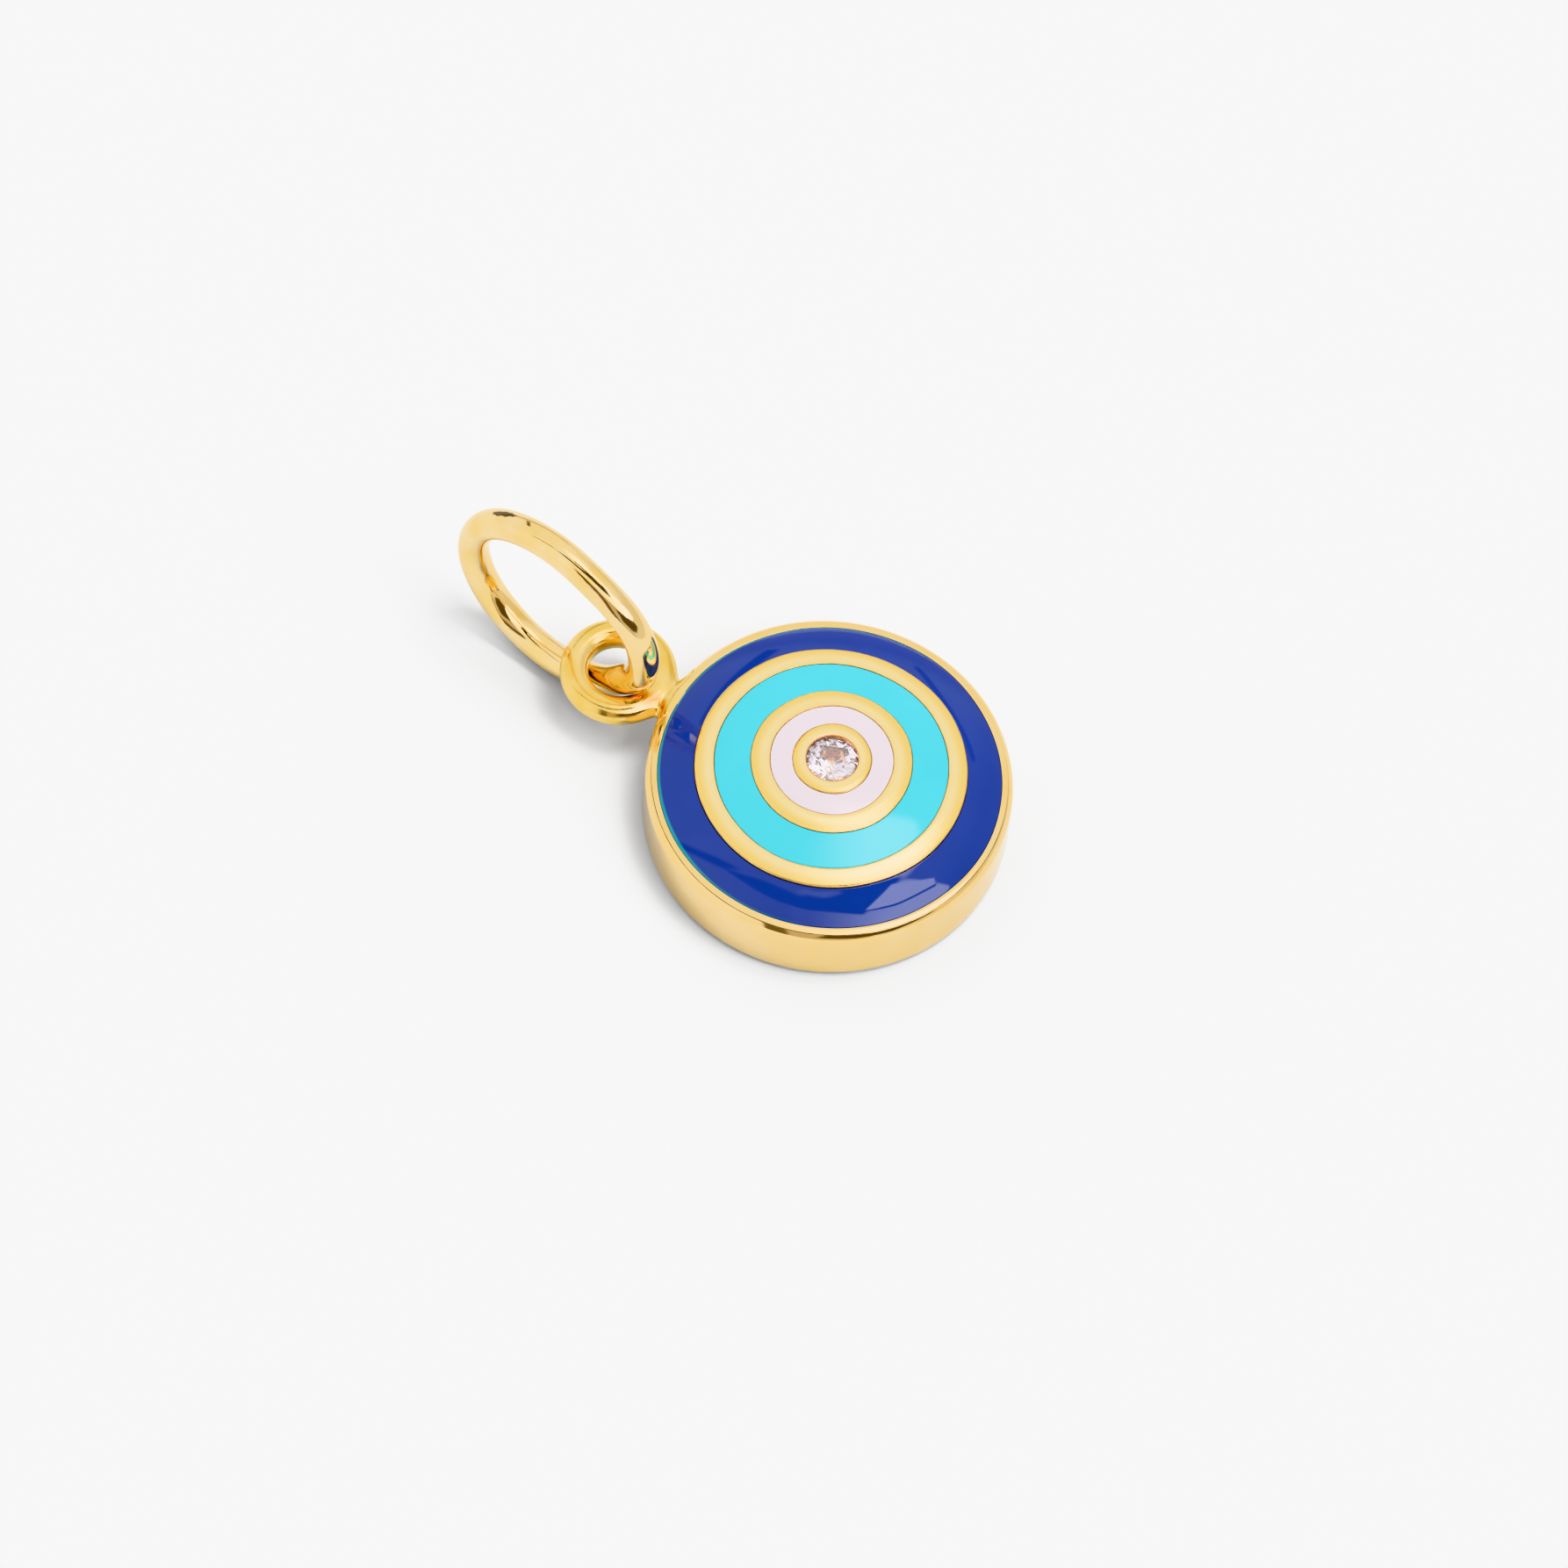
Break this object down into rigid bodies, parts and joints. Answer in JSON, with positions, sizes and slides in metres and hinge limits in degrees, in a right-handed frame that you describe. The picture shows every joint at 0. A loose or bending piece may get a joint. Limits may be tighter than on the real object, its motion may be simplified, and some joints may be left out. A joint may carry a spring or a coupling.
{
  "type": "evil eye pendant",
  "caption": "Round gold pendant with a domed enamel face in rings of navy, turquoise and pink round a clear stone, with a soldered loop and a jump ring.",
  "frame": {"origin": "centre of the disc's flat back", "axes": "+Z out of the face, +Y from the disc's middle to the loop, +X to the right as the face is seen with the loop at the top"},
  "size_m": [0.0124, 0.0211, 0.008],
  "materials": {
    "gold": "polished gold plate, satin on the ridges of the face",
    "navy": "glossy opaque enamel",
    "turquoise": "glossy opaque enamel",
    "pink": "glossy opaque enamel",
    "stone": "polished facets"
  },
  "bodies": {
    "root": {"pendant_body": "gold", "navy_enamel": "navy", "turquoise_enamel": "turquoise", "pink_enamel": "pink", "centre_stone": "stone", "jump_ring": "gold"}
  },
  "joints": []
}
